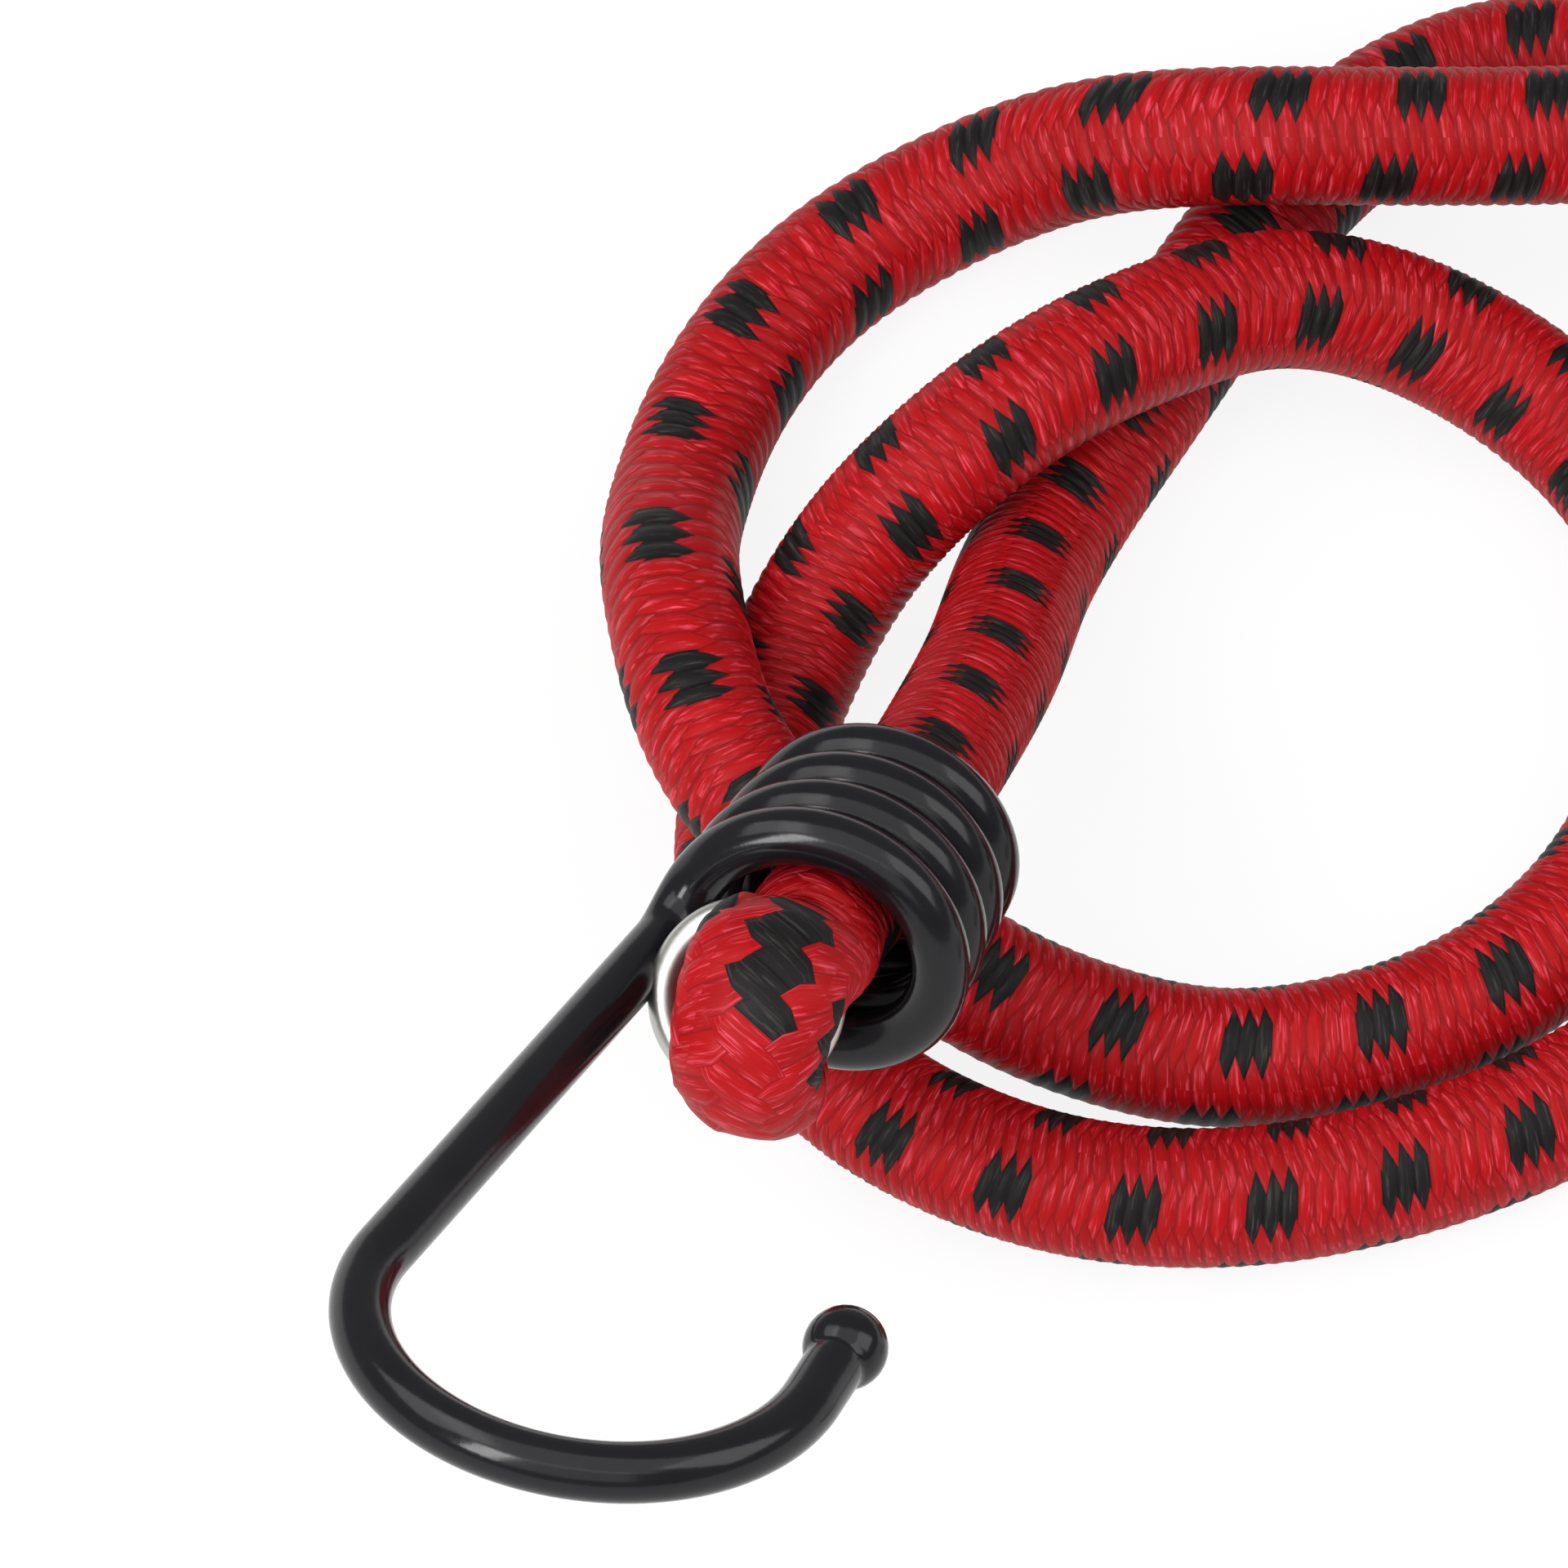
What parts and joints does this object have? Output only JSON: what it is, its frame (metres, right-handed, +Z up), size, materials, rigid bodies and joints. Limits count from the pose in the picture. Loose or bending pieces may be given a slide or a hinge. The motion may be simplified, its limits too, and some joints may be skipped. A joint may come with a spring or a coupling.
{
  "type": "bungee cord",
  "caption": "Elastic bungee cord with a braided sheath and a coated wire hook coiled round each folded, ring-clamped end, lying in loose loops.",
  "frame": {"origin": "middle of the whole part's box, on the surface that the cord lies on", "axes": "+Z up from that surface, -Y towards the viewer of the picture, +X to the viewer's right"},
  "size_m": [0.1242, 0.1302, 0.0461],
  "materials": {
    "sheath": "braided polyester, red with black flecks",
    "rubber": "natural latex",
    "steel": "drawn wire",
    "vinyl": "dipped vinyl, semi gloss",
    "nickel": "bright plated wire"
  },
  "bodies": {
    "cord": {"cord_sheath": "sheath", "rubber_strand_1": "rubber", "rubber_strand_2": "rubber", "rubber_strand_3": "rubber", "rubber_strand_4": "rubber", "ring_clip_a": "nickel", "ring_clip_b": "nickel"},
    "hook_a": {"hook_wire_a": "steel", "hook_coat_a": "vinyl", "tip_knob_a": "vinyl"},
    "hook_b": {"hook_wire_b": "steel", "hook_coat_b": "vinyl", "tip_knob_b": "vinyl"}
  },
  "joints": [
    {"name": "hook_a_swivel", "type": "hinge", "parent": "cord", "child": "hook_a", "pos_m": [-0.03508, -0.01585, 0.0256], "axis": [-0.3518, -0.8666, 0.3538], "range_deg": [-28, 206]},
    {"name": "hook_b_swivel", "type": "hinge", "parent": "cord", "child": "hook_b", "pos_m": [0.04452, 0.01065, 0.0096], "axis": [0, -0.9901, -0.14], "range_deg": [-28, 206]}
  ]
}
